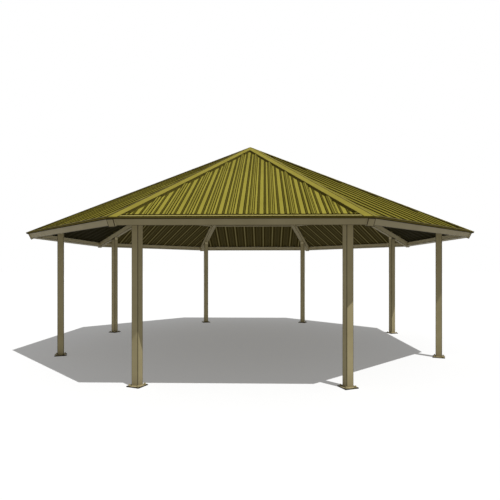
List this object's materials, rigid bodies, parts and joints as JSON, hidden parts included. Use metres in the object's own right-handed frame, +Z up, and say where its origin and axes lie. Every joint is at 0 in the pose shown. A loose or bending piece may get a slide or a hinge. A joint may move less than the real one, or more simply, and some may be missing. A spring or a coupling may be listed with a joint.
{
  "type": "octagonal park pavilion",
  "caption": "Open octagonal pavilion of painted steel tube with a ribbed sheet roof rising to a point, on columns with base plates.",
  "frame": {"origin": "centre of the octagon at floor level, under the base plates", "axes": "+Z up through the peak; -Y towards face 1, the middle of a flat side; +X to the right seen from face 1"},
  "size_m": [9.3782, 9.3782, 4.9592],
  "materials": {
    "tan_steel": "powder coat, low sheen, tan",
    "roof_sheet": "coil-coated sheet, satin, olive yellow",
    "eave_trim": "coil-coated sheet, satin, olive"
  },
  "bodies": {
    "root": {"column_1": "tan_steel", "column_2": "tan_steel", "column_3": "tan_steel", "column_4": "tan_steel", "column_5": "tan_steel", "column_6": "tan_steel", "column_7": "tan_steel", "column_8": "tan_steel", "hip_beam_1": "tan_steel", "hip_beam_2": "tan_steel", "hip_beam_3": "tan_steel", "hip_beam_4": "tan_steel", "hip_beam_5": "tan_steel", "hip_beam_6": "tan_steel", "hip_beam_7": "tan_steel", "hip_beam_8": "tan_steel", "hub": "tan_steel", "eave_beam_1": "tan_steel", "eave_beam_2": "tan_steel", "eave_beam_3": "tan_steel", "eave_beam_4": "tan_steel", "eave_beam_5": "tan_steel", "eave_beam_6": "tan_steel", "eave_beam_7": "tan_steel", "eave_beam_8": "tan_steel", "lower_purlins": "tan_steel", "upper_purlins": "tan_steel", "roof_face_1": "roof_sheet", "roof_face_2": "roof_sheet", "roof_face_3": "roof_sheet", "roof_face_4": "roof_sheet", "roof_face_5": "roof_sheet", "roof_face_6": "roof_sheet", "roof_face_7": "roof_sheet", "roof_face_8": "roof_sheet", "hip_cap_1": "roof_sheet", "hip_cap_2": "roof_sheet", "hip_cap_3": "roof_sheet", "hip_cap_4": "roof_sheet", "hip_cap_5": "roof_sheet", "hip_cap_6": "roof_sheet", "hip_cap_7": "roof_sheet", "hip_cap_8": "roof_sheet", "peak_cap": "roof_sheet", "eave_trim": "eave_trim"}
  },
  "joints": []
}
